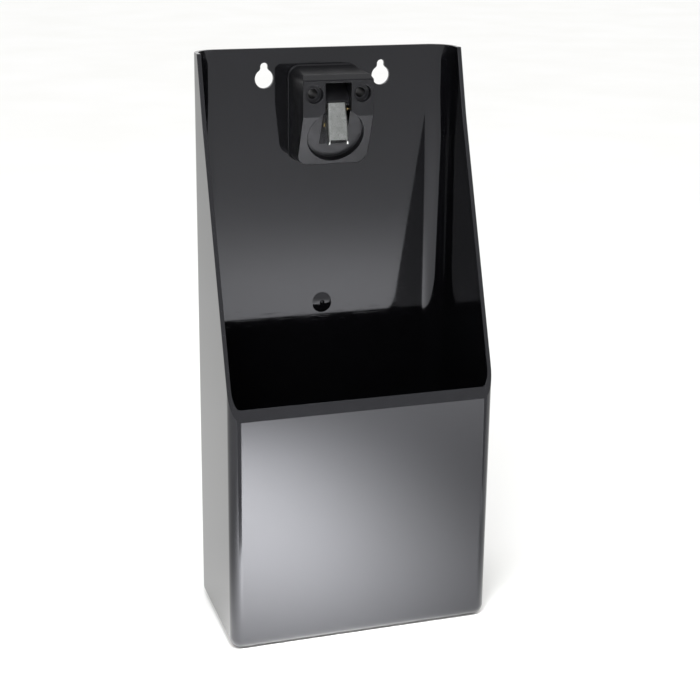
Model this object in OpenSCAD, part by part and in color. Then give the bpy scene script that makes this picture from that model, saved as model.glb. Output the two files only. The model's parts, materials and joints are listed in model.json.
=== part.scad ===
// Wall mounted bottle opener with a cap catcher.
// Row frame: X to the right, Y into the wall, Z up. The wall plane is Y = 0, X = 0 is the middle, and Z = 0 is the
// height of the two hanging keyholes. Heights in this file are above the catcher's floor, and seat() lowers them.

/* [Catcher] */
// Width of the catcher
bin_w = 160; // [130:1:210]
// Height of the back plate
bin_h = 340; // [280:1:420]
// Depth of the catcher, wall plane to front panel
bin_d = 90; // [70:1:120]
// Height of the front panel
front_h = 143; // [90:1:190]
// Depth of the side walls at the top of the back plate
side_top_d = 20.7; // [16:0.1:30]
// Thickness of the side walls, front panel and floor
wall_t = 2.5; // [1.8:0.1:4]
// Thickness of the back plate
plate_t = 2.5; // [2.4:0.1:5]
// Outer radius of the two upright edges beside the wall
back_r = 15; // [8:0.5:20]
// Outer radius of the two upright front edges
front_r = 6; // [5:0.5:12]
// Outer radius of the floor's edges
floor_r = 7.5; // [5:0.5:12]

/* [Hanging keyholes] */
// Distance between the two keyholes
key_pitch = 72; // [60:1:90]
// Distance of the keyholes' round entries below the catcher's top edge
key_drop = 17.7; // [14:0.1:24]
// Radius of the round entry
key_r = 5.6; // [4.5:0.1:6.5]
// Width of the neck that the screw's shank slides into
key_neck_w = 4.6; // [4:0.1:6]
// Height from the entry's centre to the top of the neck
key_neck_h = 9.3; // [8:0.1:12]

/* [Opener head] */
// Width of the head
head_w = 42.8; // [40:0.1:52]
// Height of the head
head_h = 55.8; // [54:0.1:66]
// Distance of the head's top below the catcher's top edge
head_drop = 10.5; // [8:0.1:20]
// How far the head's front face stands from the wall plane
head_d = 33.5; // [31:0.1:40]
// Angle of the lower face, which leans back to the wall as it goes down
lean = 23; // [18:0.5:26]
// Height of the crease between the front face and the lower face, above the head's bottom
crease_h = 29.8; // [28:0.1:34]
// Corner radius of the head, seen from the front
head_r = 6.5; // [4:0.5:8]
// Overhang of the thin foot that seats on the back plate
foot_over = 0.8; // [0.4:0.1:1.5]
// Thickness of that foot
foot_t = 1.6; // [1:0.1:2.5]

/* [Cap recess] */
// Radius of the round recess for a crown cap
cap_r = 17; // [16.5:0.1:18]
// Depth of the recess
cap_deep = 4; // [3:0.1:4.5]
// Distance of the recess's centre below the crease, along the lower face
cap_down = 12.9; // [12:0.1:14]

/* [Wall screws] */
// Distance between the two wall screw holes through the head
screw_pitch = 28.8; // [28:0.1:32]
// Distance of those holes below the head's top
screw_drop = 12.8; // [11:0.1:14]
// Radius of the clearance hole
screw_r = 2.75; // [2.2:0.05:3]
// Radius of the counterbore
bore_r = 5.1; // [4.8:0.1:5.3]
// Depth of the counterbore
bore_deep = 4; // [3:0.1:6]

/* [Tooth] */
// Width of the channel
tooth_w = 12.2; // [11:0.1:12.6]
// Length of the channel's web
tooth_l = 21.5; // [20:0.1:22.5]
// Sheet thickness
sheet_t = 1.2; // [1:0.1:1.5]
// Lean of the web at rest, lower end outwards
tooth_lean = 13.5; // [10:0.5:15]
// How far the two claws reach below the web
claw_l = 2.7; // [2:0.1:3]
// Clear gap from the tooth to the slot's wall, each side, which the spring's coils fill
side_gap = 1.65; // [1.6:0.05:2]

/* [Pin and spring] */
// Radius of the hinge pin
pin_r = 1.5; // [1.2:0.05:1.7]
// Radial clearance of the pin in the tooth
pin_gap = 0.05; // [0.02:0.01:0.1]
// Diameter of the spring wire
wire_d = 0.7; // [0.6:0.05:0.75]

/* [Head screws] */
// Major radius of the tapping screws from behind
tap_r = 1.75; // [1.5:0.05:2]
// Radius of their countersunk heads
tap_head_r = 3.4; // [3:0.1:3.8]
// Length of the tapping screws
tap_l = 16; // [12:1:18]

/* [Hidden] */
$fn = 96;
over = 1;            // how far a cut runs past the face it opens

// Catcher
key_z = bin_h - key_drop;
slope_bend_z = front_h + 0.8 * (bin_h - front_h);   // where the side walls' front edge turns a little steeper
slope_bend_d = bin_d - 0.83 * (bin_d - side_top_d);
gate_z = 0.54 * bin_h;                              // the moulding gate in the middle of the back plate
gate_r = 6.5;
gate_rise = 0.9;
gate_ball_r = (gate_r * gate_r + gate_rise * gate_rise) / (2 * gate_rise);
gate_stub_r = 1.2;

// Head
head_top = bin_h - head_drop;
head_bottom = head_top - head_h;
crease_z = head_bottom + crease_h;
lower_d = head_d - crease_h * tan(lean);            // depth of the lower face at the head's bottom
brow_z = head_top - 4.7;                            // top of the flat front face
brow_d = head_d - 4.5;                              // where the top face meets the brow's slope
top_fall = 2.1;                                     // draft of the top face
screw_z = head_top - screw_drop;

// Tooth, in its own side view: [distance down the web, distance behind the web's outer face]
down = [-sin(tooth_lean), -cos(tooth_lean)];        // along the web, as [Y, Z]
inward = [cos(tooth_lean), -sin(tooth_lean)];       // square to the web, towards the wall
tooth_top = [-head_d + 3.5, crease_z + 7.7];        // the web's upper outer edge, as [Y, Z]
function on_tooth(u, v) = tooth_top + u * down + v * inward;
pivot_uv = [4.1, 5.1];
pivot = on_tooth(pivot_uv[0], pivot_uv[1]);
ear_r = 3.4;                                        // round of each flange about the pin
bend_r = 1.8;                                       // outer radius of the channel's bends
flange_u = 2.4;                                     // where the flanges start, below the web's stop edge

// Slot
slot_half = tooth_w / 2 + side_gap;
slot_top = head_top - 6.5;
slot_back = -plate_t - 11.5;
slot_bottom = crease_z - 17.1;
ramp_top = [slot_back - 6.5, slot_top];             // where the stop bar's sloping front starts, as [Y, Z]
stop_nose_u = -0.5;                                 // top of the stop's square nose, above the web's edge
stop_foot_u = 1.8;                                  // foot of the stop behind the web
stop_gap = 0.1;                                     // play between the web and its stop
ear_gap = 0.55;                                     // play round the flanges' ears

// Spring
coil_r = pin_r + 0.3 + wire_d / 2;
coil_in_x = tooth_w / 2 + 0.07 + wire_d / 2;
coil_out_x = slot_half - 0.04 - wire_d / 2;
bridge = on_tooth(13, 6.7);                         // where the wire crosses behind both flanges
leg_end = [slot_back - 0.1 - wire_d / 2, pivot[1] - 9];

// Hinge pin
pin_left_x = -slot_half - 6;
pin_right_x = head_w / 2 - 3;
pin_l = pin_right_x - pin_left_x;
pin_bore_gap = 0.01;
pin_end_l = 0.4;                                    // the pin's chamfered ends
pin_end_r = pin_r - 0.3;

// Screws behind the head: [X, height]
tap_places = [for (side = [-1, 1], z = [head_top - 5, head_bottom + 6.8]) [side * 15, z]];
tap_core_r = tap_r - 0.3;
tap_gap = 0.02;
tap_hole_r = tap_r + 0.1;                           // clearance hole through the back plate
tap_head_l = tap_head_r - tap_r;
tap_point_l = 1.5;
cross_l = 3.4;                                      // length, width and depth of the driver's cross
cross_w = 0.7;
cross_deep = 1.4;

// Everything is drawn by its height above the floor, then lowered so that Z = 0 is the keyholes' height.
module seat() translate([0, 0, -key_z]) children();

// A side view, drawn as [Y, Z], made w wide along X about x = 0.
module across(w) rotate([90, 0, 90]) translate([0, 0, -w / 2]) linear_extrude(w) children();

// A front view, drawn as [X, Z], from the depth near to the depth far, both measured from the wall plane.
module from_front(near, far) translate([0, -near, 0]) rotate([90, 0, 0]) linear_extrude(far - near) children();

// A round hole or rod along Y, from the depth near to the depth far, at x and height z.
module along_y(r, near, far, x, z, r_far = undef)
    translate([x, -near, z]) rotate([90, 0, 0]) cylinder(h = far - near, r1 = r, r2 = is_undef(r_far) ? r : r_far);

// A rectangle from low to high whose corners have the radii r, listed from the low corner anticlockwise.
module rounded(low, high, r) {
    corners = [[low[0], low[1], 1, 1], [high[0], low[1], -1, 1], [high[0], high[1], -1, -1], [low[0], high[1], 1, -1]];
    difference() {
        translate(low) square(high - low);
        for (i = [0:3])
            if (r[i] > 0)
                translate([corners[i][0] - over * corners[i][2], corners[i][1] - over * corners[i][3]])
                    scale([corners[i][2], corners[i][3]]) square(r[i] + over);
    }
    for (i = [0:3])
        if (r[i] > 0)
            translate([corners[i][0] + r[i] * corners[i][2], corners[i][1] + r[i] * corners[i][3]]) circle(r[i]);
}

// The catcher's outline on all three sides, moved in by t. The top is left open when t is above 0.
module bin_form(t) {
    back = t > 0 ? plate_t : 0;
    rise = t > 0 ? over : 0;
    intersection() {
        linear_extrude(bin_h + rise)
            rounded([-bin_w / 2 + t, -bin_d + t], [bin_w / 2 - t, -back],
                    [front_r - t, front_r - t, back_r - t, back_r - t]);
        from_front(-over, bin_d + over)
            rounded([-bin_w / 2 + t, t], [bin_w / 2 - t, bin_h + rise], [floor_r - t, floor_r - t, 0, 0]);
        across(bin_w + 2 * over)
            rounded([-bin_d + t, t], [0, bin_h + rise], [floor_r - t, 0, 0, 0]);
    }
}

// What the sloping front edges of the side walls leave away, as [Y, Z].
module mouth() polygon([
    [-bin_d - over, front_h], [-bin_d, front_h], [-slope_bend_d, slope_bend_z], [-side_top_d, bin_h],
    [-side_top_d, bin_h + over], [-bin_d - over, bin_h + over]
]);

module keyhole(x) {
    neck_r = key_neck_w / 2;
    along_y(key_r, -over, plate_t + over, x, key_z);
    along_y(neck_r, -over, plate_t + over, x, key_z + key_neck_h - neck_r);
    translate([x - neck_r, -plate_t - over, key_z])
        cube([key_neck_w, plate_t + 2 * over, key_neck_h - neck_r]);
}

module catcher_bin() color([0.07, 0.07, 0.075]) seat() {
    difference() {
        bin_form(0);
        bin_form(wall_t);
        across(bin_w + 2 * over) mouth();
        for (side = [-1, 1]) {
            keyhole(side * key_pitch / 2);
            along_y(screw_r, -over, plate_t + over, side * screw_pitch / 2, screw_z);
        }
        for (p = tap_places) {
            along_y(tap_hole_r, -over, plate_t + over, p[0], p[1]);
            along_y(tap_hole_r + tap_head_l + over, -over, tap_head_l, p[0], p[1], tap_hole_r);
        }
        along_y(gate_r, -over, gate_rise, 0, gate_z);
    }
    // the gate's shallow dome inside, and its stub in the dish behind
    intersection() {
        translate([0, gate_ball_r - gate_rise - plate_t, gate_z]) sphere(gate_ball_r);
        along_y(gate_r, plate_t - 0.2, plate_t + 2 * gate_rise, 0, gate_z);
    }
    along_y(gate_stub_r, 0.3, gate_rise + 0.1, 0, gate_z);
}

// The head's side view, as [Y, Z].
module head_side() polygon([
    [-plate_t, head_bottom], [-lower_d, head_bottom], [-head_d, crease_z], [-head_d, brow_z],
    [-brow_d, head_top - top_fall], [-plate_t, head_top]
]);

// The slot's side view: open to the front, with the sloping stop bar left standing above the tooth.
module slot_side() {
    difference() {
        translate([-head_d - over, slot_bottom]) square([head_d + over + slot_back, slot_top - slot_bottom]);
        polygon([
            [slot_back + over, slot_top + over], ramp_top + over * [1.5, 1], ramp_top, on_tooth(stop_nose_u, -stop_gap),
            on_tooth(stop_nose_u, sheet_t + stop_gap), on_tooth(stop_foot_u, sheet_t + stop_gap),
            [pivot[0] + 2, pivot[1] + ear_r + ear_gap], [slot_back + over, pivot[1] + ear_r + ear_gap]
        ]);
    }
    translate(pivot) circle(ear_r + ear_gap);
}

module opener_head() color([0.1, 0.1, 0.105]) seat() difference() {
    union() {
        intersection() {
            from_front(plate_t, head_d)
                rounded([-head_w / 2, head_bottom], [head_w / 2, head_top], [head_r, head_r, head_r, head_r]);
            across(head_w) head_side();
        }
        from_front(plate_t, plate_t + foot_t)
            rounded([-head_w / 2 - foot_over, head_bottom - foot_over], [head_w / 2 + foot_over, head_top + foot_over],
                    [for (i = [0:3]) head_r + foot_over]);
    }
    across(2 * slot_half) slot_side();
    // cap recess, square to the lower face
    translate([0, -head_d, crease_z]) rotate([90 + lean, 0, 0])
        translate([0, -cap_down, -cap_deep]) cylinder(h = cap_deep + head_d, r = cap_r);
    for (side = [-1, 1]) {
        along_y(screw_r, plate_t - over, head_d + over, side * screw_pitch / 2, screw_z);
        along_y(bore_r, head_d - bore_deep, head_d + over, side * screw_pitch / 2, screw_z);
    }
    for (p = tap_places) along_y(tap_core_r + tap_gap, plate_t - over, tap_l + 1, p[0], p[1]);
    // the pin's bore: blind on the left, open on the right
    translate([pin_left_x - 0.2, pivot[0], pivot[1]]) rotate([0, 90, 0])
        cylinder(h = head_w, r = pin_r + pin_bore_gap);
}

// A flange's outline in the tooth's own view: an ear about the pin, a tapering tail and a claw.
module flange_uv() {
    translate(pivot_uv) circle(ear_r);
    polygon([
        [flange_u, 0], [flange_u, 2.2], [pivot_uv[0] - 1.9, pivot_uv[1] - 2.8], pivot_uv + ear_r * [0.29, 0.957],
        [14, 5.9], [tooth_l - 2, 4.2], [tooth_l + claw_l, 3.1],
        [tooth_l + claw_l, 1.4], [tooth_l + 0.6, 0.2], [tooth_l - 0.6, 0]
    ]);
}

// Puts the tooth's own view, drawn as [down the web, inward], at its place, w wide along X from x0.
module on_web(x0, w) translate([x0, tooth_top[0], tooth_top[1]])
    multmatrix([[0, 0, 1, 0], [down[0], inward[0], 0, 0], [down[1], inward[1], 0, 0], [0, 0, 0, 1]])
        linear_extrude(w) children();

// The channel's cross-section, as [X, inward].
module channel_cut() difference() {
    rounded([-tooth_w / 2, 0], [tooth_w / 2, pivot_uv[1] + ear_r + over], [bend_r, bend_r, 0, 0]);
    rounded([-tooth_w / 2 + sheet_t, sheet_t], [tooth_w / 2 - sheet_t, pivot_uv[1] + ear_r + 2 * over],
            [bend_r - sheet_t, bend_r - sheet_t, 0, 0]);
}

module tooth() color([0.78, 0.78, 0.76]) seat() difference() {
    intersection() {
        translate([0, tooth_top[0], tooth_top[1]])
            multmatrix([[1, 0, 0, 0], [0, inward[0], down[0], 0], [0, inward[1], down[1], 0], [0, 0, 0, 1]])
                linear_extrude(tooth_l + claw_l) channel_cut();
        union() {
            on_web(-tooth_w / 2, sheet_t) flange_uv();
            on_web(tooth_w / 2 - sheet_t, sheet_t) flange_uv();
            on_web(-tooth_w / 2, tooth_w) square([tooth_l, sheet_t]);
            on_web(-tooth_w / 2, tooth_w) translate([flange_u, 0]) square([tooth_l - flange_u, bend_r]);
        }
    }
    translate([-tooth_w, pivot[0], pivot[1]]) rotate([0, 90, 0]) cylinder(h = 2 * tooth_w, r = pin_r + pin_gap);
}

module hinge_pin() color([0.6, 0.6, 0.62]) seat()
    translate([pin_left_x, pivot[0], pivot[1]]) rotate([0, 90, 0]) {
        cylinder(h = pin_end_l, r1 = pin_end_r, r2 = pin_r);
        translate([0, 0, pin_end_l]) cylinder(h = pin_l - 2 * pin_end_l, r = pin_r);
        translate([0, 0, pin_l - pin_end_l]) cylinder(h = pin_end_l, r1 = pin_r, r2 = pin_end_r);
    }

// The spring's wire, right half: leg from the slot's back, up over the coil, and down to the bridge.
leg_len = norm(leg_end - pivot);
leg_a = atan2(leg_end[1] - pivot[1], leg_end[0] - pivot[0]) + acos(coil_r / leg_len);
arm_len = norm(bridge - pivot);
arm_a = atan2(bridge[1] - pivot[1], bridge[0] - pivot[0]) + 360 - acos(coil_r / arm_len);
turn_steps = 34;
turn_a = arm_a + 360 - leg_a;
coil_points = [for (i = [0:turn_steps]) let (a = leg_a + turn_a * i / turn_steps)
    [coil_out_x + (coil_in_x - coil_out_x) * i / turn_steps, pivot[0] + coil_r * cos(a), pivot[1] + coil_r * sin(a)]];
corner = 0.9;                                       // the wire's bend where the arm becomes the bridge
arm_dir = unit(bridge - pivot - coil_r * [cos(arm_a), sin(arm_a)]);
bend_points = [for (i = [0:5]) let (a = 90 * i / 5, back = corner * (1 - sin(a)))
    [coil_in_x - corner * (1 - cos(a)), bridge[0] - arm_dir[0] * back, bridge[1] - arm_dir[1] * back]];
half_wire = concat([[coil_out_x, leg_end[0], leg_end[1]]], coil_points, bend_points);
wire_path = concat(half_wire,
    [for (i = [len(half_wire) - 1:-1:0]) [-half_wire[i][0], half_wire[i][1], half_wire[i][2]]]);

// A round tube swept along a list of points: frames are carried from ring to ring without twist.
function unit(v) = v / norm(v);
function heading(p, i) = unit(p[min(i + 1, len(p) - 1)] - p[max(i - 1, 0)]);
function carried(p, i, n) = unit(n - (n * heading(p, i)) * heading(p, i));
function frames(p, i, n) = i == len(p) ? [] :
    let (m = carried(p, i, n)) concat([m], frames(p, i + 1, m));
module swept(p, r, sides) {
    side_of = frames(p, 0, [1, 0, 0]);
    rings = [for (i = [0:len(p) - 1], k = [0:sides - 1])
        p[i] + r * (cos(360 * k / sides) * side_of[i] + sin(360 * k / sides) * cross(heading(p, i), side_of[i]))];
    last = (len(p) - 1) * sides;
    polyhedron(rings, concat(
        [[for (k = [0:sides - 1]) k]],
        [[for (k = [sides - 1:-1:0]) last + k]],
        [for (i = [0:len(p) - 2], k = [0:sides - 1]) let (a = i * sides, b = (k + 1) % sides)
            [a + k, a + sides + k, a + sides + b, a + b]]
    ));
}

module tooth_spring() color([0.62, 0.58, 0.46]) seat() swept(wire_path, wire_d / 2, 10);

// One countersunk tapping screw, flush with the wall face of the back plate.
module tap_screw(p) difference() {
    union() {
        along_y(tap_head_r, 0.05, tap_head_l + 0.05, p[0], p[1], tap_r);
        along_y(tap_core_r, tap_head_l, tap_l - tap_point_l, p[0], p[1]);
        along_y(tap_core_r, tap_l - tap_point_l, tap_l, p[0], p[1], 0.4);
    }
    for (a = [0, 90])
        translate([p[0], 0, p[1]]) rotate([0, a, 0]) cube([cross_l, 2 * cross_deep, cross_w], center = true);
}

module head_screws() color([0.7, 0.7, 0.72]) seat() for (p = tap_places) tap_screw(p);

catcher_bin();
opener_head();
tooth();
hinge_pin();
tooth_spring();
head_screws();
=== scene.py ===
"""A wall mounted bottle opener with a cap catcher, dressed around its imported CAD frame.

The frame has X to the right, Y into the wall and Z up, with the wall plane at Y = 0 and Z = 0 at the height
of the two hanging keyholes. Lengths in the dataclasses are millimetres, and MM turns them into Blender's
metres.
"""

import json
import logging
import math
from dataclasses import dataclass, field
from enum import Enum

import bmesh
import bpy
from mathutils import Matrix, Quaternion, Vector


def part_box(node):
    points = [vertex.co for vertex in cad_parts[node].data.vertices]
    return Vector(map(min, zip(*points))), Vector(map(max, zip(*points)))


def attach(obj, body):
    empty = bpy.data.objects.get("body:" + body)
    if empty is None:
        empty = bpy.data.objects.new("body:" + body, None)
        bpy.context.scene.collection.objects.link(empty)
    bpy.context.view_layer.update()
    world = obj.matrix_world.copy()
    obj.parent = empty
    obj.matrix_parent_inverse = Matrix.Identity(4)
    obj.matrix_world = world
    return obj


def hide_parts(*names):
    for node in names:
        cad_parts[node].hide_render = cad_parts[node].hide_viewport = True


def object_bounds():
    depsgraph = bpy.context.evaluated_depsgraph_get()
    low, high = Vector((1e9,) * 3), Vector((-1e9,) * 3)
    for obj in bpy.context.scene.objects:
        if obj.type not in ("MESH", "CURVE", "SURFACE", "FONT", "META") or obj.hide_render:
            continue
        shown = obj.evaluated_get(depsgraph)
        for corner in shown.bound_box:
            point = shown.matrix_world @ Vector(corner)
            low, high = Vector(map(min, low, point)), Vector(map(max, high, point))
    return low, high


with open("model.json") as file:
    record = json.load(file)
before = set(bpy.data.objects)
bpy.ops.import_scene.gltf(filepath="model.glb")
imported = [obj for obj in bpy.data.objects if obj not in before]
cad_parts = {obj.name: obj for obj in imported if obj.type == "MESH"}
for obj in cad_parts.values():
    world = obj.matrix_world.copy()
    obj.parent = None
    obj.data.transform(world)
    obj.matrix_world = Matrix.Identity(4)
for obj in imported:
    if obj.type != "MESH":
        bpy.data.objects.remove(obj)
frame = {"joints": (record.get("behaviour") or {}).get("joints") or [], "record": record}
CAD_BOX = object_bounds()

MM = 0.001
LOG = logging.getLogger("bottle_opener")

Point = tuple[float, float]


# ---------------------------------------------------------------- shapes


class Plane(Enum):
    """The view that an outline is drawn in, as the matrix from (across, up, depth) to X, Y, Z."""

    FRONT = Matrix(((1, 0, 0, 0), (0, 0, 1, 0), (0, 1, 0, 0), (0, 0, 0, 1)))
    SIDE = Matrix(((0, 0, 1, 0), (1, 0, 0, 0), (0, 1, 0, 0), (0, 0, 0, 1)))


class Combine(Enum):
    """What is kept of two closed shapes."""

    CUT = "DIFFERENCE"
    JOIN = "UNION"
    COMMON = "INTERSECT"


def arc(centre: Point, radius: float, start: float, end: float, steps: int = 12) -> list[Point]:
    """Points along a circular arc.

    Args:
        centre: The arc's centre.
        radius: The arc's radius.
        start: The first point's angle in degrees, anticlockwise from the first axis.
        end: The last point's angle in degrees.
        steps: How many chords the arc has.

    Returns:
        The points from start to end, both included.
    """
    angles = [math.radians(start + (end - start) * i / steps) for i in range(steps + 1)]
    return [(centre[0] + radius * math.cos(a), centre[1] + radius * math.sin(a)) for a in angles]


def rounded_rectangle(low: Point, high: Point, radius: float, steps: int = 12) -> list[Point]:
    """The outline of a rectangle whose four corners are arcs, anticlockwise from the lower left one.

    Args:
        low: The lower left corner.
        high: The upper right corner.
        radius: The corners' radius.
        steps: Chords in each corner.

    Returns:
        The outline's points.
    """
    near, far = (low[0] + radius, low[1] + radius), (high[0] - radius, high[1] - radius)
    corners = [(near, 180), ((far[0], near[1]), 270), (far, 0), ((near[0], far[1]), 90)]
    return [p for centre, a in corners for p in arc(centre, radius, a, a + 90, steps)]


def prism(outline: list[Point], plane: Plane, low: float, high: float) -> bmesh.types.BMesh:
    """Extrudes an outline into a closed prism.

    Args:
        outline: The outline in millimetres, (x, z) in the front view or (y, z) in the side view.
        plane: The view that the outline is drawn in.
        low: Where the prism starts along the view's depth, in millimetres.
        high: Where it ends.

    Returns:
        The prism in metres.
    """
    shape = bmesh.new()
    ring = [shape.verts.new(plane.value @ Vector((a * MM, b * MM, low * MM))) for a, b in outline]
    face = shape.faces.new(ring)
    grown = bmesh.ops.extrude_face_region(shape, geom=[face])["geom"]
    moved = [v for v in grown if isinstance(v, bmesh.types.BMVert)]
    bmesh.ops.translate(shape, verts=moved, vec=plane.value @ Vector((0, 0, (high - low) * MM)))
    bmesh.ops.recalc_face_normals(shape, faces=shape.faces)
    return shape


def rod(start: Vector, end: Vector, radius: float, end_radius: float | None = None,
        sides: int = 64) -> bmesh.types.BMesh:
    """A round rod or cone between two points.

    Args:
        start: The centre of the first end, in millimetres.
        end: The centre of the second end.
        radius: Radius at the first end.
        end_radius: Radius at the second end, if it isn't the same.
        sides: Faces round the rod.

    Returns:
        The closed rod in metres.
    """
    shape = bmesh.new()
    along = (end - start) * MM
    place = Matrix.Translation((start + end) / 2 * MM) @ along.to_track_quat("Z", "Y").to_matrix().to_4x4()
    bmesh.ops.create_cone(
        shape, cap_ends=True, segments=sides, radius1=radius * MM,
        radius2=(radius if end_radius is None else end_radius) * MM, depth=along.length, matrix=place,
    )
    return shape


def lathe(profile: list[Point], centre: Vector, steps: int = 48) -> bmesh.types.BMesh:
    """Spins a profile round an axis along Y.

    Args:
        profile: (radius, depth from the centre towards the room) in millimetres, from axis to axis.
        centre: A point on the axis, in millimetres.
        steps: Faces round the axis.

    Returns:
        The closed turned shape in metres.
    """
    shape = bmesh.new()
    line = [shape.verts.new((centre + Vector((r, -d, 0))) * MM) for r, d in profile]
    edges = [shape.edges.new(pair) for pair in zip(line, line[1:])]
    bmesh.ops.spin(
        shape, geom=line + edges, cent=centre * MM, axis=(0, 1, 0), angle=math.tau, steps=steps,
        use_merge=True,
    )
    bmesh.ops.remove_doubles(shape, verts=shape.verts, dist=1e-7)
    bmesh.ops.recalc_face_normals(shape, faces=shape.faces)
    return shape


def combined(body: bmesh.types.BMesh, tool: bmesh.types.BMesh, way: Combine) -> bmesh.types.BMesh:
    """Cuts, joins or intersects two closed shapes, and frees them both.

    Args:
        body: The shape that is worked on.
        tool: The shape that works on it.
        way: What is kept.

    Returns:
        The new closed shape, its flat faces in one piece.
    """
    pair = []
    for shape in (body, tool):
        mesh = bpy.data.meshes.new("working")
        shape.to_mesh(mesh)
        shape.free()
        pair.append(bpy.data.objects.new("working", mesh))
        bpy.context.scene.collection.objects.link(pair[-1])
    modifier = pair[0].modifiers.new("combine", "BOOLEAN")
    modifier.object, modifier.operation, modifier.solver = pair[1], way.value, "EXACT"
    result = bmesh.new()
    result.from_object(pair[0], bpy.context.evaluated_depsgraph_get())
    for used in pair:
        bpy.data.meshes.remove(used.data)
    bmesh.ops.remove_doubles(result, verts=result.verts, dist=1e-7)
    bmesh.ops.dissolve_limit(result, angle_limit=math.radians(0.05), verts=result.verts, edges=result.edges)
    return result


def bevelled(shape: bmesh.types.BMesh, edges: list[bmesh.types.BMEdge], radius: float, segments: int) -> None:
    """Rounds edges of a shape to a radius in millimetres."""
    bmesh.ops.bevel(
        shape, geom=edges, offset=radius * MM, segments=segments, profile=0.5, affect="EDGES", material=-1,
        clamp_overlap=False,
    )


@dataclass(frozen=True)
class Seat:
    """How a finished piece joins the model.

    Attributes:
        body: The CAD body it rides on.
        slot: The record's material slot; not used.
        nodes: The CAD nodes it stands for.
    """

    body: str
    slot: str
    nodes: tuple[str, ...]


def piece(name: str, shape: bmesh.types.BMesh, finish: bpy.types.Material, seat: Seat,
          soft_edge: float = 0.0, edge_angle: float = 30.0) -> bpy.types.Object:
    """Turns a shape into a finished piece of the model.

    Args:
        name: The piece's name.
        shape: Its closed shape, which is freed.
        finish: Its material.
        seat: Its body, slot and CAD nodes.
        soft_edge: Radius of its small moulded or deburred edges in millimetres, or 0 for none.
        edge_angle: The least angle in degrees at which an edge counts as one of those.

    Returns:
        The piece's object, at the origin.
    """
    mesh = bpy.data.meshes.new(name)
    for face in shape.faces:
        face.smooth = True
    shape.to_mesh(mesh)
    shape.free()
    made = bpy.data.objects.new(name, mesh)
    bpy.context.scene.collection.objects.link(made)
    mesh.materials.append(finish)
    if soft_edge:
        edge = made.modifiers.new("soft_edges", "BEVEL")
        edge.width, edge.segments, edge.limit_method = soft_edge * MM, 3, "ANGLE"
        edge.angle_limit, edge.use_clamp_overlap = math.radians(edge_angle), False
        edge.miter_outer = "MITER_ARC"
    normals = made.modifiers.new("flat_faces_stay_flat", "WEIGHTED_NORMAL")
    normals.weight = 100
    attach(made, seat.body)
    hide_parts(*seat.nodes)
    LOG.info("%s: %d faces on body %s", name, len(mesh.polygons), seat.body)
    return made


# ---------------------------------------------------------------- finishes


def linear(colour: str) -> tuple[float, float, float, float]:
    """Turns an sRGB colour such as #0b0b0c into Blender's linear red, green, blue and alpha."""
    channels = [int(colour[i:i + 2], 16) / 255 for i in (1, 3, 5)]
    return (*[c / 12.92 if c <= 0.04045 else ((c + 0.055) / 1.055) ** 2.4 for c in channels], 1.0)


def add_node(tree: bpy.types.NodeTree, kind: str, inputs: dict | None = None,
             **settings: object) -> bpy.types.Node:
    """Adds a node with its settings and links.

    Args:
        tree: The node tree.
        kind: The node's type name, without the ShaderNode in front.
        inputs: A value or another node's output for each input, by its name or number.
        **settings: The node's own properties.

    Returns:
        The new node.
    """
    node = tree.nodes.new("ShaderNode" + kind)
    for name, value in settings.items():
        setattr(node, name, value)
    for name, value in (inputs or {}).items():
        if isinstance(value, bpy.types.NodeSocket):
            tree.links.new(value, node.inputs[name])
        else:
            node.inputs[name].default_value = value
    return node


def new_material(name: str) -> tuple[bpy.types.Material, bpy.types.NodeTree, bpy.types.Node]:
    """An empty material, its tree, and its shader joined to the output."""
    material = bpy.data.materials.new(name)
    material.use_nodes = True
    material.node_tree.nodes.clear()
    shader = add_node(material.node_tree, "BsdfPrincipled")
    add_node(material.node_tree, "OutputMaterial", {"Surface": shader.outputs[0]})
    return material, material.node_tree, shader


def pattern(tree: bpy.types.NodeTree, size: tuple[float, float, float], turn: float = 0.0,
            detail: float = 2.0) -> bpy.types.NodeSocket:
    """A noise pattern on Object coordinates.

    Args:
        tree: The material's tree.
        size: The pattern's grain in millimetres along X, Y and Z.
        turn: How far the grain is turned about X, in degrees.
        detail: How many finer layers the noise has.

    Returns:
        The noise's value, from 0 to 1.
    """
    place = add_node(tree, "TexCoord").outputs["Object"]
    turned = add_node(tree, "Mapping", {"Vector": place, "Rotation": (math.radians(turn), 0, 0)})
    scale = tuple(1 / (s * MM) for s in size)
    scaled = add_node(tree, "Mapping", {"Vector": turned.outputs[0], "Scale": scale})
    noise = add_node(tree, "TexNoise", {"Vector": scaled.outputs[0], "Scale": 1.0, "Detail": detail})
    return noise.outputs[0]


def spread(tree: bpy.types.NodeTree, value: bpy.types.NodeSocket, source: Point,
           target: Point) -> bpy.types.NodeSocket:
    """Maps a value from the source range to the target range, held at its ends."""
    inputs = {0: value, 1: source[0], 2: source[1], 3: target[0], 4: target[1]}
    return add_node(tree, "MapRange", inputs).outputs[0]


def relief(tree: bpy.types.NodeTree,
           layers: list[tuple[bpy.types.NodeSocket, float]]) -> bpy.types.NodeSocket:
    """Stacks height patterns into one bumped normal.

    Args:
        tree: The material's tree.
        layers: Each pattern with the height in millimetres that its value of 1 stands for.

    Returns:
        The normal after the last layer.
    """
    normal = None
    for height, rise in layers:
        inputs = {"Height": height, "Distance": rise * MM, "Strength": 1.0}
        if normal is not None:
            inputs["Normal"] = normal
        normal = add_node(tree, "Bump", inputs).outputs[0]
    return normal


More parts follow.
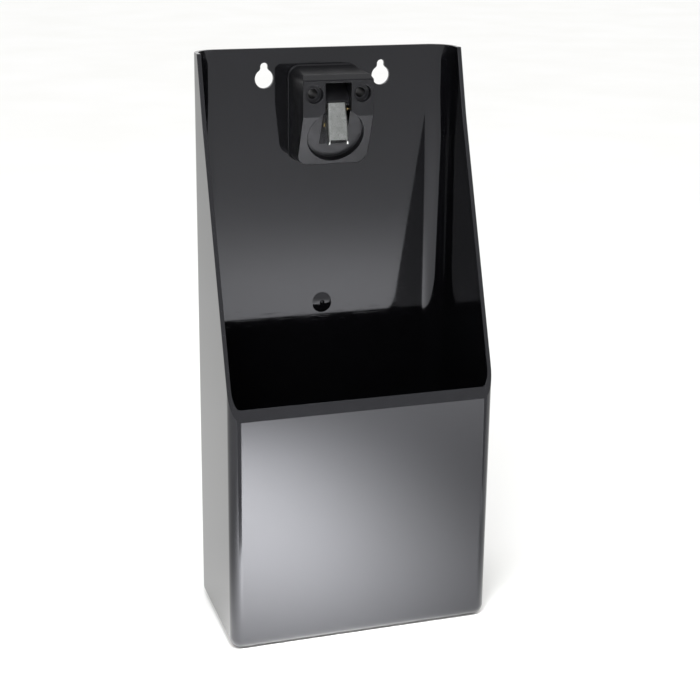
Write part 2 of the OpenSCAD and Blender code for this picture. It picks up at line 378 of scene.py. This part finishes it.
@dataclass(frozen=True)
class GlossMoulding:
    """Black ABS from a polished mould: a deep gloss that mirrors the room, with a faint wave where the wall
    shrank as it cooled, thin wiping hairlines, and a little dust haze."""

    name: str = "polished_black_abs"
    colour: str = "#050506"
    haze_colour: str = "#08080a"
    roughness: Point = (0.05, 0.1)
    ior: float = 1.46
    specular_tint: str = "#f6f7ff"
    wave: float = 34.0
    wave_rise: float = 0.012
    haze: float = 9.0
    hairline: tuple[float, float, float] = (22.0, 22.0, 0.5)
    hairline_rise: float = 0.004

    def material(self) -> bpy.types.Material:
        """The material, made of the wave, the hairlines and the haze."""
        material, tree, shader = new_material(self.name)
        wave = pattern(tree, (self.wave,) * 3, detail=1.0)
        haze = pattern(tree, (self.haze,) * 3, detail=4.0)
        hairline = spread(tree, pattern(tree, self.hairline, detail=3.0), (0.62, 0.72), (0.0, 1.0))
        worn = add_node(tree, "Math", {0: haze, 1: hairline}, operation="MAXIMUM").outputs[0]
        rough = spread(tree, worn, (0.45, 1.0), self.roughness)
        tints = {0: haze, 6: linear(self.colour), 7: linear(self.haze_colour)}
        tint = add_node(tree, "Mix", tints, data_type="RGBA")
        tree.links.new(tint.outputs[2], shader.inputs["Base Color"])
        tree.links.new(rough, shader.inputs["Roughness"])
        layers = [(wave, self.wave_rise), (hairline, self.hairline_rise)]
        tree.links.new(relief(tree, layers), shader.inputs["Normal"])
        shader.inputs["IOR"].default_value = self.ior
        shader.inputs["Specular Tint"].default_value = linear(self.specular_tint)
        return material


@dataclass(frozen=True)
class SatinMoulding:
    """Black glass-filled nylon from a spark-eroded mould: a fine grain that spreads the light into a soft
    sheen, a little shinier where bottles rub. The real grain is about 0.1 mm, and it is drawn coarser so that
    it shows."""

    name: str = "spark_eroded_black_nylon"
    colour: str = "#09090a"
    rubbed_colour: str = "#0e0e10"
    roughness: Point = (0.32, 0.46)
    ior: float = 1.33
    specular_tint: str = "#f6f7ff"
    grain: float = 0.42
    grain_rise: float = 0.03
    rub: float = 7.0

    def material(self) -> bpy.types.Material:
        """The material, made of the grain and the rubbed patches."""
        material, tree, shader = new_material(self.name)
        grain = pattern(tree, (self.grain,) * 3, detail=3.0)
        rub = pattern(tree, (self.rub,) * 3, detail=3.0)
        tints = {0: rub, 6: linear(self.colour), 7: linear(self.rubbed_colour)}
        tint = add_node(tree, "Mix", tints, data_type="RGBA")
        tree.links.new(tint.outputs[2], shader.inputs["Base Color"])
        tree.links.new(spread(tree, rub, (0.3, 0.7), self.roughness), shader.inputs["Roughness"])
        tree.links.new(relief(tree, [(grain, self.grain_rise)]), shader.inputs["Normal"])
        shader.inputs["IOR"].default_value = self.ior
        shader.inputs["Specular Tint"].default_value = linear(self.specular_tint)
        return material


@dataclass(frozen=True)
class Steel:
    """Bare or plated steel: drawn, ground or brushed lines that stretch the highlights across themselves,
    over faint blotches of handling. The lines of the real sheet are finer, and they are drawn about a third
    of a millimetre wide so that they show."""

    name: str
    colour: str
    dull_colour: str
    roughness: Point
    line: tuple[float, float, float]
    line_rise: float
    turn: float = 0.0
    anisotropy: float = 0.0
    blotch: float = 3.0

    def material(self) -> bpy.types.Material:
        """The material, made of the lines and the blotches."""
        material, tree, shader = new_material(self.name)
        line = pattern(tree, self.line, turn=self.turn, detail=3.0)
        blotch = pattern(tree, (self.blotch,) * 3, detail=3.0)
        mixed = add_node(tree, "Math", {0: line, 1: blotch}, operation="MULTIPLY").outputs[0]
        shade = spread(tree, mixed, (0.12, 0.4), (0.0, 1.0))
        tints = {0: shade, 6: linear(self.dull_colour), 7: linear(self.colour)}
        tint = add_node(tree, "Mix", tints, data_type="RGBA")
        tree.links.new(tint.outputs[2], shader.inputs["Base Color"])
        tree.links.new(spread(tree, line, (0.3, 0.7), self.roughness), shader.inputs["Roughness"])
        tree.links.new(relief(tree, [(line, self.line_rise)]), shader.inputs["Normal"])
        shader.inputs["Metallic"].default_value = 1.0
        shader.inputs["Anisotropic"].default_value = self.anisotropy
        return material


BRUSHED_STAINLESS = Steel(
    "brushed_stainless_sheet", "#8b8d8c", "#747675", (0.26, 0.4), (0.32, 0.32, 9.0), 0.012,
    turn=-13.5, anisotropy=0.5,
)
GROUND_PIN = Steel("ground_silver_steel", "#c4c6c8", "#96989a", (0.14, 0.26), (0.25, 3.0, 3.0), 0.004)
SPRING_WIRE = Steel("drawn_spring_wire", "#a8966c", "#7c6a44", (0.16, 0.28), (0.3, 0.3, 0.3), 0.003)
ZINC_PLATE = Steel("zinc_plated_screw", "#cfd3d6", "#9a9fa3", (0.26, 0.42), (0.8, 0.8, 0.8), 0.006)


# ---------------------------------------------------------------- the catcher


@dataclass
class Catcher:
    """The tall bin that hangs on the wall and catches the caps.

    Attributes:
        wall: Thickness of its walls and back plate.
        back_radius: Outer radius of the two upright edges beside the wall.
        edge_radius: Outer radius of its front and bottom edges.
        front_height: Height of the front panel above the floor.
        bend: Depth and height where the side walls' front edge turns steeper.
        top_depth: Depth of the side walls at the top.
        soft_edge: Radius of the rim and of the holes' edges.
    """

    wall: float = 2.5
    back_radius: float = 15.0
    edge_radius: float = 6.75
    front_height: float = 143.0
    bend: Point = (32.48, 300.6)
    top_depth: float = 20.7
    soft_edge: float = 0.3
    entry_radius: float = 5.6
    neck_radius: float = 2.3
    neck_height: float = 7.0
    neck_blend: float = 2.2
    gate_height: float = 183.6
    gate_radius: float = 6.5
    gate_rise: float = 0.9
    gate_overlap: float = 0.3
    screw_gap: float = 0.1
    nub: Point = (0.55, 0.3)
    stub: Point = (1.2, 0.3)
    low: Vector = field(default_factory=lambda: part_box("catcher_bin")[0] / MM)
    high: Vector = field(default_factory=lambda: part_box("catcher_bin")[1] / MM)

    def build(self) -> None:
        """Makes the bin, with its keyholes and holes, and its gate mark."""
        shape = combined(self.tub(0.0), self.tub(self.wall), Combine.CUT)
        shape = combined(shape, self.mouth(), Combine.CUT)
        for hole in self.holes():
            shape = combined(shape, hole, Combine.CUT)
        shape = self.gate(shape)
        seat = Seat("catcher", "bin_plastic", ("catcher_bin",))
        piece("catcher_tub", shape, GlossMoulding().material(), seat, self.soft_edge, 35.0)

    def tub(self, inset: float) -> bmesh.types.BMesh:
        """The bin's rounded block, moved in by inset on every side but the open top."""
        rise = 1.0 if inset else 0.0
        low = self.low + Vector((inset, inset, inset))
        high = self.high - Vector((inset, inset, -rise))
        shape = bmesh.new()
        size = (high - low) * MM
        place = Matrix.Translation((low + high) / 2 * MM) @ Matrix.Diagonal(size).to_4x4()
        bmesh.ops.create_cube(shape, size=1.0, matrix=place)
        middle = (low.y + high.y) / 2 * MM
        upright = [e for e in shape.edges if abs(e.verts[0].co.z - e.verts[1].co.z) > size.z / 2]
        bevelled(shape, [e for e in upright if e.verts[0].co.y > middle], self.back_radius - inset, 14)
        floor = low.z * MM
        rounded = [
            e for e in shape.edges
            if all(abs(v.co.z - floor) < 1e-6 for v in e.verts)
            or (abs(e.verts[0].co.z - e.verts[1].co.z) > size.z / 2 and e.verts[0].co.y < low.y * MM + 1e-6)
        ]
        bevelled(shape, rounded, self.edge_radius - inset, 10)
        bmesh.ops.recalc_face_normals(shape, faces=shape.faces)
        return shape

    def mouth(self) -> bmesh.types.BMesh:
        """What the sloping front edges of the side walls leave open."""
        floor, beyond = self.low.z, 5.0
        top = self.high.z - floor
        edge = [(self.low.y, self.front_height), (-self.bend[0], self.bend[1]), (-self.top_depth, top)]
        outline = [(self.low.y - beyond, self.front_height), *edge, (-self.top_depth, top + beyond),
                   (self.low.y - beyond, top + beyond)]
        raised = [(y, z + floor) for y, z in outline]
        return prism(raised, Plane.SIDE, self.low.x - beyond, self.high.x + beyond)

    def keyhole(self, x: float) -> list[Point]:
        """The pear-shaped outline of a keyhole, about x and Z = 0."""
        reach = self.entry_radius + self.neck_blend
        side = self.neck_radius + self.neck_blend
        up = math.sqrt(reach ** 2 - side ** 2)
        turn = math.degrees(math.atan2(up, side))
        right = arc((side, up), self.neck_blend, 180 + turn, 180, 8)
        left = [(-a, b) for a, b in reversed(right)]
        top = arc((0, self.neck_height), self.neck_radius, 0, 180, 16)
        entry = arc((0, 0), self.entry_radius, 180 - turn, 360 + turn, 48)
        return [(x + a, b) for a, b in entry[:-1] + right + top + left[:-1]]

    def holes(self) -> list[bmesh.types.BMesh]:
        """The keyholes, the wall screws' holes and the countersunk holes behind the head."""
        mounts = {m["name"]: m for m in frame["record"]["mounts"]}
        hang, screws = mounts["hanging_keyholes"], mounts["wall_screw_holes"]
        made, before = [], -2 * self.wall
        for side in (-1, 1):
            outline = self.keyhole(side * hang["dims"]["spacing_x_mm"] / 2)
            made.append(prism(outline, Plane.FRONT, before, self.wall))
        for side in (-1, 1):
            x, z = side * screws["dims"]["spacing_x_mm"] / 2, screws["pos_m"][2] / MM
            ends = Vector((x, self.wall, z)), Vector((x, before, z))
            made.append(rod(*ends, screws["dims"]["hole_r_mm"]))
        screw = HeadScrews()
        narrow, wide = screw.radius + self.screw_gap, screw.head_radius + self.screw_gap + self.wall
        for x, z in screw.places():
            start = Vector((x, self.wall, z))
            made.append(rod(start, Vector((x, before, z)), narrow))
            made.append(rod(start, Vector((x, -screw.head_length, z)), wide, narrow))
        return made

    def gate(self, shape: bmesh.types.BMesh) -> bmesh.types.BMesh:
        """Adds the moulding gate: a low dome with a tiny nub inside, and a dish with its stub behind."""
        centre = Vector((0, 0, self.low.z + self.gate_height))
        ball = (self.gate_radius ** 2 + self.gate_rise ** 2) / (2 * self.gate_rise)
        half = math.degrees(math.asin(self.gate_radius / ball))
        top = self.wall + self.gate_rise
        dome = arc((0, top - ball), ball, 90 - half, 90, 8)[:-1]
        (wide, tall), root = self.nub, self.wall - self.gate_overlap
        nub = [(wide, top - 0.01), (wide - 0.1, top + tall - 0.05), (0, top + tall)]
        mark = lathe([(0, root), (self.gate_radius, root), *dome, *nub], centre)
        shape = combined(shape, mark, Combine.JOIN)
        deep = self.gate_rise
        dish = lathe([(0, -1), (self.gate_radius, -1), (self.gate_radius, deep), (0, deep)], centre)
        shape = combined(shape, dish, Combine.CUT)
        wide, low = self.stub
        stub = [(0, deep + 0.2), (wide, deep + 0.2), (wide, low + 0.1), (wide - 0.3, low), (0, low)]
        return combined(shape, lathe(stub, centre), Combine.JOIN)


# ---------------------------------------------------------------- the opener


@dataclass
class Tooth:
    """The sprung channel of stainless sheet that hooks under a cap, drawn in its own side view.

    In that view u runs down the web and v runs from the web's outer face towards the wall.
    """

    width: float = 12.2
    length: float = 21.5
    sheet: float = 1.2
    lean: float = 13.5
    bend_radius: float = 1.8
    claw: float = 2.7
    ear_radius: float = 3.4
    flange_start: float = 2.4
    ear_span: Point = (-120.0, -285.0)
    shoulder: Point = (14.0, 5.9)
    waist: Point = (2.0, 4.2)
    claw_deep: float = 3.1
    claw_round: float = 0.7
    pivot_uv: Point = (4.1, 5.1)
    bore: float = 1.55
    soft_edge: float = 0.16
    pivot: Vector = field(default_factory=lambda: Vector(frame["joints"][0]["pos_m"]) / MM)

    def at(self, u: float, v: float) -> Point:
        """A point of the tooth's own view, as (y, z)."""
        turn = math.radians(self.lean)
        down, inward = (-math.sin(turn), -math.cos(turn)), (math.cos(turn), -math.sin(turn))
        du, dv = u - self.pivot_uv[0], v - self.pivot_uv[1]
        return (self.pivot.y + du * down[0] + dv * inward[0], self.pivot.z + du * down[1] + dv * inward[1])

    def build(self) -> None:
        """Makes the channel as a bent strip that its side view trims, with the pin's holes."""
        shape = combined(self.strip(), self.side(), Combine.COMMON)
        y, z = self.pivot.y, self.pivot.z
        bore = rod(Vector((-self.width, y, z)), Vector((self.width, y, z)), self.bore, sides=32)
        shape = combined(shape, bore, Combine.CUT)
        seat = Seat("tooth", "tooth_steel", ("tooth",))
        piece("tooth_channel", shape, BRUSHED_STAINLESS.material(), seat, self.soft_edge, 30.0)

    def strip(self) -> bmesh.types.BMesh:
        """The channel's U section along its whole length, leaning as it does at rest."""
        half, deep = self.width / 2, self.pivot_uv[1] + self.ear_radius + 1
        inner, bend = half - self.sheet, self.bend_radius
        small = bend - self.sheet
        outside = [*arc((half - bend, bend), bend, -90, 0, 8), (half, deep)]
        inside = [(inner, deep), *arc((inner - small, self.sheet + small), small, 0, -90, 6)]
        right = outside + inside
        outline = right + [(-x, v) for x, v in reversed(right)]
        shape = bmesh.new()
        top, foot = Vector((0, *self.at(-1, 0))), Vector((0, *self.at(self.length + self.claw + 1, 0)))
        inward = Vector((0, *self.at(-1, 1))) - top
        ring = [shape.verts.new((top + Vector((x, 0, 0)) + inward * v) * MM) for x, v in outline]
        grown = bmesh.ops.extrude_face_region(shape, geom=[shape.faces.new(ring)])["geom"]
        moved = [v for v in grown if isinstance(v, bmesh.types.BMVert)]
        bmesh.ops.translate(shape, verts=moved, vec=(foot - top) * MM)
        bmesh.ops.recalc_face_normals(shape, faces=shape.faces)
        return shape

    def side(self) -> bmesh.types.BMesh:
        """What the side view keeps of the strip: the web, and on both sides an ear, a flange and a claw."""
        end, low, start = self.length + self.claw, self.length, self.flange_start
        web = [(0, -0.03), (0, self.sheet + 0.01), (start, self.sheet + 0.01), (start, self.bend_radius),
               (low, self.bend_radius), (low, -0.03)]
        shape = prism([self.at(u, v) for u, v in web], Plane.SIDE, -self.width, self.width)
        ear = arc(self.pivot_uv, self.ear_radius, *self.ear_span, 20)
        tip = arc((end - self.claw_round, self.claw_deep - 1), self.claw_round, 0, -60, 5)
        claw = [(low - self.waist[0], self.waist[1]), (end, self.claw_deep), *tip, (low + 0.6, 0.2)]
        flange = [self.at(u, v) for u, v in [(start, -0.01), *ear, self.shoulder, *claw, (low - 0.6, -0.01)]]
        inner, outer = self.width / 2 - self.sheet, self.width
        for ends in ((inner, outer), (-outer, -inner)):
            shape = combined(shape, prism(flange, Plane.SIDE, *ends), Combine.JOIN)
        return shape


@dataclass
class HeadScrews:
    """The four countersunk tapping screws that hold the head on from behind."""

    radius: float = 1.75
    head_radius: float = 3.4
    length: float = 16.0
    point_length: float = 1.5
    thread_depth: float = 0.3
    cross: tuple[float, float, float] = (3.4, 1.4, 0.7)
    spacing: float = 15.0
    below_top: float = 5.0
    above_bottom: float = 6.8
    foot: float = 0.8
    sunk: float = 0.05
    neck: float = 0.3
    tip_radius: float = 0.4
    soft_edge: float = 0.1

    @property
    def head_length(self) -> float:
        """Depth of the countersink."""
        return self.head_radius - self.radius

    def places(self) -> list[Point]:
        """Each screw's x and z."""
        low, high = (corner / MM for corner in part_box("opener_head"))
        heights = (high.z - self.foot - self.below_top, low.z + self.foot + self.above_bottom)
        return [(side * self.spacing, z) for side in (-1, 1) for z in heights]

    def build(self) -> None:
        """Makes the four screws as one piece."""
        core = self.radius - self.thread_depth
        rim, face = self.head_radius, self.sunk
        head = [(0, face), (rim - 0.12, face), (rim, face + 0.1), (core, self.head_length + self.neck)]
        shank = [(core, self.length - self.point_length), (self.tip_radius, self.length), (0, self.length)]
        profile = head + shank
        group = bmesh.new()
        length, deep, wide = self.cross
        for x, z in self.places():
            screw = lathe(profile, Vector((x, 0, z)), 36)
            for run, rise in ((length, wide), (wide, length)):
                bar = [(x - run / 2, z - rise / 2), (x + run / 2, z - rise / 2), (x + run / 2, z + rise / 2),
                       (x - run / 2, z + rise / 2)]
                screw = combined(screw, prism(bar, Plane.FRONT, -deep, 1), Combine.CUT)
            mesh = bpy.data.meshes.new("working")
            screw.to_mesh(mesh)
            screw.free()
            group.from_mesh(mesh)
            bpy.data.meshes.remove(mesh)
        seat = Seat("catcher", "screw_steel", ("head_screws",))
        piece("head_screw_set", group, ZINC_PLATE.material(), seat, self.soft_edge, 35.0)


@dataclass
class OpenerHead:
    """The moulded block that takes the cap: slot, round recess and two counterbored wall screw holes."""

    foot_over: float = 0.8
    foot: float = 1.6
    lean: float = 23.0
    crease_height: float = 29.8
    corner_radius: float = 6.5
    brow: float = 4.7
    brow_depth: float = 4.5
    top_fall: float = 2.1
    cap_radius: float = 17.0
    cap_depth: float = 4.0
    cap_down: float = 12.9
    bore_radius: float = 5.1
    bore_depth: float = 4.0
    side_gap: float = 1.65
    slot_drop: float = 6.5
    slot_depth: float = 11.5
    slot_below_crease: float = 17.1
    ear_gap: float = 0.55
    stop_gap: float = 0.1
    stop_nose: float = 1.8
    stop_foot: float = -0.5
    ramp: float = 6.5
    cap_room: float = 30.0
    pin_bore_radius: float = 1.51
    pin_bore_end: float = 0.2
    soft_edge: float = 0.42
    plate: float = 2.5
    tooth: Tooth = field(default_factory=Tooth)

    def __post_init__(self) -> None:
        """Takes the head's place from its CAD box."""
        low, high = (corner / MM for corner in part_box("opener_head"))
        self.half = high.x - self.foot_over
        self.top, self.bottom = high.z - self.foot_over, low.z + self.foot_over
        self.front = low.y
        self.crease = self.bottom + self.crease_height

    def build(self) -> None:
        """Makes the block and cuts its slot, recess and holes."""
        shape = self.block()
        for tool in (self.slot(), self.ear_room(), self.recess(), *self.bores(), self.pin_bore()):
            shape = combined(shape, tool, Combine.CUT)
        seat = Seat("catcher", "head_plastic", ("opener_head",))
        piece("opener_block", shape, SatinMoulding().material(), seat, self.soft_edge, 20.0)

    def block(self) -> bmesh.types.BMesh:
        """The block on its thin foot, with its brow, front face and leaning lower face."""
        lower = self.front + self.crease_height * math.tan(math.radians(self.lean))
        side = [(-self.plate, self.bottom - 1), (lower + math.tan(math.radians(self.lean)), self.bottom - 1),
                (self.front, self.crease), (self.front, self.top - self.brow),
                (self.front + self.brow_depth, self.top - self.top_fall), (-self.plate, self.top)]
        face = rounded_rectangle((-self.half, self.bottom), (self.half, self.top), self.corner_radius)
        shape = combined(prism(face, Plane.FRONT, self.front - 1, -self.plate),
                         prism(side, Plane.SIDE, -self.half - 1, self.half + 1), Combine.COMMON)
        wide = rounded_rectangle((-self.half - self.foot_over, self.bottom - self.foot_over),
                                 (self.half + self.foot_over, self.top + self.foot_over),
                                 self.corner_radius + self.foot_over)
        return combined(shape, prism(wide, Plane.FRONT, -self.plate - self.foot, -self.plate), Combine.JOIN)

    def slot(self) -> bmesh.types.BMesh:
        """The slot's space, open to the front, with the sloping stop bar left standing above the tooth."""
        back, ceiling = -self.plate - self.slot_depth, self.top - self.slot_drop
        floor = self.crease - self.slot_below_crease
        pivot, under = self.tooth.pivot, self.tooth.sheet + self.stop_gap
        above_ear = pivot.z + self.tooth.ear_radius + self.ear_gap
        outline = [
            (self.front - 1, floor), (back, floor), (back, above_ear), (pivot.y + 2, above_ear),
            self.tooth.at(self.stop_nose, under), self.tooth.at(self.stop_foot, under),
            self.tooth.at(self.stop_foot, -self.stop_gap), (back - self.ramp, ceiling),
            (self.front - 1, ceiling),
        ]
        half = self.tooth.width / 2 + self.side_gap
        return prism(outline, Plane.SIDE, -half, half)

    def ear_room(self) -> bmesh.types.BMesh:
        """The round space that the tooth's ears turn in."""
        half = self.tooth.width / 2 + self.side_gap
        y, z = self.tooth.pivot.y, self.tooth.pivot.z
        radius = self.tooth.ear_radius + self.ear_gap
        return rod(Vector((-half, y, z)), Vector((half, y, z)), radius, sides=48)

    def recess(self) -> bmesh.types.BMesh:
        """The round recess for the cap, square to the lower face."""
        turn = math.radians(self.lean)
        down = Vector((0, math.sin(turn), -math.cos(turn)))
        inward = Vector((0, math.cos(turn), math.sin(turn)))
        centre = Vector((0, self.front, self.crease)) + down * self.cap_down
        start, end = centre + inward * self.cap_depth, centre - inward * self.cap_room
        return rod(start, end, self.cap_radius, sides=112)

    def bores(self) -> list[bmesh.types.BMesh]:
        """The wall screws' clearance holes and counterbores."""
        mount = next(m for m in frame["record"]["mounts"] if m["name"] == "wall_screw_holes")
        z, made = mount["pos_m"][2] / MM, []
        for side in (-1, 1):
            x = side * mount["dims"]["spacing_x_mm"] / 2
            before, seat = Vector((x, self.front - 1, z)), Vector((x, self.front + self.bore_depth, z))
            made.append(rod(Vector((x, 0, z)), before, mount["dims"]["hole_r_mm"], sides=40))
            made.append(rod(seat, before, self.bore_radius, sides=56))
        return made

    def pin_bore(self) -> bmesh.types.BMesh:
        """The pin's bore: blind on the left, open on the right."""
        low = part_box("hinge_pin")[0] / MM
        y, z = self.tooth.pivot.y, self.tooth.pivot.z
        start, end = Vector((low.x - self.pin_bore_end, y, z)), Vector((self.half + 2, y, z))
        return rod(start, end, self.pin_bore_radius, sides=32)


@dataclass
class HingePin:
    """The ground pin that the tooth turns on."""

    radius: float = 1.5
    end_round: float = 0.3

    def build(self) -> None:
        """Makes the pin with rounded ends."""
        low, high = (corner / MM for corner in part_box("hinge_pin"))
        y, z = Tooth().pivot.y, Tooth().pivot.z
        shape = rod(Vector((low.x, y, z)), Vector((high.x, y, z)), self.radius, sides=40)
        rims = [e for e in shape.edges if len({round(v.co.x, 6) for v in e.verts}) == 1]
        bevelled(shape, rims, self.end_round, 4)
        piece("hinge_pin_rod", shape, GROUND_PIN.material(), Seat("catcher", "pin_steel", ("hinge_pin",)))


@dataclass
class ToothSpring:
    """The double torsion spring: coils and legs that stay with the head, and arms that follow the tooth.

    The two pieces share a stretch of coil, so the wire still looks whole when the tooth is pressed in.
    """

    wire: float = 0.7
    coil_radius: float = 2.15
    coil_inner_x: float = 6.52
    coil_outer_x: float = 7.36
    bridge_uv: Point = (13.0, 6.7)
    leg_drop: float = 9.0
    leg_y: float = -14.45
    corner: float = 0.9
    shared_turn: float = 75.0
    sides: int = 14
    tooth: Tooth = field(default_factory=Tooth)

    def angles(self) -> tuple[float, float]:
        """The coil's first and last angle in radians, where the leg and the arm leave it."""
        pivot = self.tooth.pivot
        leg = Vector((self.leg_y - pivot.y, -self.leg_drop))
        bridge = Vector(self.tooth.at(*self.bridge_uv)) - Vector((pivot.y, pivot.z))
        start = math.atan2(leg.y, leg.x) + math.acos(self.coil_radius / leg.length)
        end = math.atan2(bridge.y, bridge.x) + math.tau - math.acos(self.coil_radius / bridge.length)
        return start, end + math.tau

    def coil(self, first: float, last: float) -> list[Vector]:
        """Points of the right-hand coil between two shares of its turn."""
        start, end = self.angles()
        steps = max(2, round((last - first) * 60))
        shares = [first + (last - first) * i / steps for i in range(steps + 1)]
        pivot, drift = self.tooth.pivot, self.coil_inner_x - self.coil_outer_x
        points = []
        for s in shares:
            turn = start + (end - start) * s
            y, z = pivot.y + self.coil_radius * math.cos(turn), pivot.z + self.coil_radius * math.sin(turn)
            points.append(Vector((self.coil_outer_x + drift * s, y, z)))
        return points

    def build(self) -> None:
        """Makes the legs with their coils, and the arms with their bridge."""
        start, end = self.angles()
        shared = 1 - math.radians(self.shared_turn) / (end - start)
        pivot = self.tooth.pivot
        leg = Vector((self.coil_outer_x, self.leg_y, pivot.z - self.leg_drop))
        legs = [[leg, *self.coil(0.0, 1.0)]]
        legs.append([Vector((-p.x, p.y, p.z)) for p in legs[0]])
        bridge = Vector((self.coil_inner_x, *self.tooth.at(*self.bridge_uv)))
        last = self.coil(shared, 1.0)
        along = (bridge - last[-1]).normalized()
        bend = []
        for turn in (math.radians(15 * i) for i in range(7)):
            sideways = Vector((self.corner * (1 - math.cos(turn)), 0, 0))
            bend.append(bridge - along * self.corner * (1 - math.sin(turn)) - sideways)
        right = last + bend
        arm = right + [Vector((-p.x, p.y, p.z)) for p in reversed(right)]
        finish = SPRING_WIRE.material()
        self.tube("spring_coils", legs, self.wire / 2, finish, "catcher")
        self.tube("spring_arms", [arm], self.wire / 2 - 0.01, finish, "tooth")

    def tube(self, name: str, lines: list[list[Vector]], radius: float, finish: bpy.types.Material,
             body: str) -> None:
        """Sweeps the wire along its lines, as one piece.

        Args:
            name: The piece's name.
            lines: The wire's centrelines in millimetres.
            radius: The wire's radius in millimetres.
            finish: The wire's material.
            body: The CAD body it rides on.
        """
        curve = bpy.data.curves.new(name, "CURVE")
        curve.dimensions, curve.bevel_depth, curve.use_fill_caps = "3D", radius * MM, True
        curve.bevel_resolution = (self.sides - 4) // 2
        for line in lines:
            spline = curve.splines.new("POLY")
            spline.points.add(len(line) - 1)
            for point, place in zip(spline.points, line):
                point.co = (*(place * MM), 1.0)
        drawn = bpy.data.objects.new("working", curve)
        bpy.context.scene.collection.objects.link(drawn)
        mesh = bpy.data.meshes.new_from_object(drawn.evaluated_get(bpy.context.evaluated_depsgraph_get()))
        shape = bmesh.new()
        shape.from_mesh(mesh)
        bpy.data.meshes.remove(mesh)
        bpy.data.curves.remove(curve)
        bmesh.ops.remove_doubles(shape, verts=shape.verts, dist=1e-7)
        bmesh.ops.recalc_face_normals(shape, faces=shape.faces)
        piece(name, shape, finish, Seat(body, "spring_steel", ("tooth_spring",)))


# ---------------------------------------------------------------- the studio


@dataclass
class Studio:
    """A pale floor, a white room, three soft lights and the camera."""

    floor_size: float = 12.0
    floor_colour: str = "#f3f3f1"
    room_strength: float = 1.07
    camera_place: tuple[float, float, float] = (-0.2601, -0.8517, 0.1194)
    azimuth: float = 17.89
    elevation: float = 16.97
    roll: float = 0.62
    lens: float = 76.77
    shift: Point = (0.01, -0.04)

    def build(self) -> None:
        """Sets up the floor, the room, the lights and the camera."""
        self.floor()
        self.room()
        self.light("key_softbox", (-0.45, -0.85, 0.75), (0.0, -0.6, -0.322), (0.7, 0.7), 12.0)
        self.light("floor_wash", (-0.035, -0.27, -0.13), (-0.035, -0.27, -0.322), (0.1, 0.3), 2.9, 95.0)
        self.light("front_wash", (0.2, -0.62, 0.1), (0.2, -0.62, -0.322), (0.4, 0.3), 2.0, 100.0)
        self.camera()

    def floor(self) -> None:
        """A plain pale floor just under the catcher."""
        shape = bmesh.new()
        bmesh.ops.create_grid(shape, x_segments=8, y_segments=8, size=self.floor_size / 2,
                              matrix=Matrix.Translation((0, 0, CAD_BOX[0].z - 0.00005)))
        mesh = bpy.data.meshes.new("studio_floor")
        shape.to_mesh(mesh)
        shape.free()
        floor = bpy.data.objects.new("studio_floor", mesh)
        bpy.context.scene.collection.objects.link(floor)
        # Matt white paper sweep: no gloss, with a barely uneven tone.
        material, tree, shader = new_material("matt_paper_sweep")
        tone = spread(tree, pattern(tree, (180.0,) * 3), (0.3, 0.7), (0.0, 1.0))
        tints = {0: tone, 6: linear(self.floor_colour), 7: linear("#f6f6f5")}
        tint = add_node(tree, "Mix", tints, data_type="RGBA")
        tree.links.new(tint.outputs[2], shader.inputs["Base Color"])
        shader.inputs["Roughness"].default_value = 0.95
        shader.inputs["Specular IOR Level"].default_value = 0.1
        mesh.materials.append(material)

    def room(self) -> None:
        """A plain white room round the object."""
        world = bpy.data.worlds.new("white_room")
        world.use_nodes = True
        background = world.node_tree.nodes["Background"]
        background.inputs["Color"].default_value = linear("#ffffff")
        background.inputs["Strength"].default_value = self.room_strength
        bpy.context.scene.world = world
        bpy.context.scene.view_settings.view_transform = "Standard"

    def light(self, name: str, place: tuple[float, float, float], aim: tuple[float, float, float],
              size: Point, power: float, spread_angle: float = 180.0) -> None:
        """Adds a soft rectangular light.

        Args:
            name: The light's name.
            place: Where it stands, in metres.
            aim: The point it faces.
            size: Its width and height in metres.
            power: Its power in watts.
            spread_angle: The angle it spreads its light over, in degrees.
        """
        data = bpy.data.lights.new(name, "AREA")
        data.spread = math.radians(spread_angle)
        data.shape, data.size, data.size_y, data.energy = "RECTANGLE", size[0], size[1], power
        lamp = bpy.data.objects.new(name, data)
        lamp.location = place
        lamp.rotation_mode = "QUATERNION"
        lamp.rotation_quaternion = (Vector(aim) - Vector(place)).to_track_quat("-Z", "Y")
        lamp.visible_camera = False
        bpy.context.scene.collection.objects.link(lamp)

    def camera(self) -> None:
        """The camera, a little to the left and above, looking down at the front."""
        data = bpy.data.cameras.new("camera")
        data.lens, data.sensor_width = self.lens, 36.0
        data.shift_x, data.shift_y = self.shift
        turn, tilt = math.radians(self.azimuth), math.radians(self.elevation)
        ahead = Vector((math.sin(turn) * math.cos(tilt), math.cos(turn) * math.cos(tilt), -math.sin(tilt)))
        eye = bpy.data.objects.new("camera", data)
        eye.location = self.camera_place
        eye.rotation_mode = "QUATERNION"
        roll = Quaternion((0, 0, 1), math.radians(self.roll))
        eye.rotation_quaternion = ahead.to_track_quat("-Z", "Y") @ roll
        bpy.context.scene.collection.objects.link(eye)
        bpy.context.scene.camera = eye


def main() -> None:
    """Builds the studio and every piece in order."""
    logging.basicConfig(level=logging.INFO, format="%(message)s")
    for part in (Studio(), Catcher(), OpenerHead(), Tooth(), HingePin(), ToothSpring(), HeadScrews()):
        LOG.info("building %s", type(part).__name__)
        part.build()


if __name__ == "__main__":
    main()
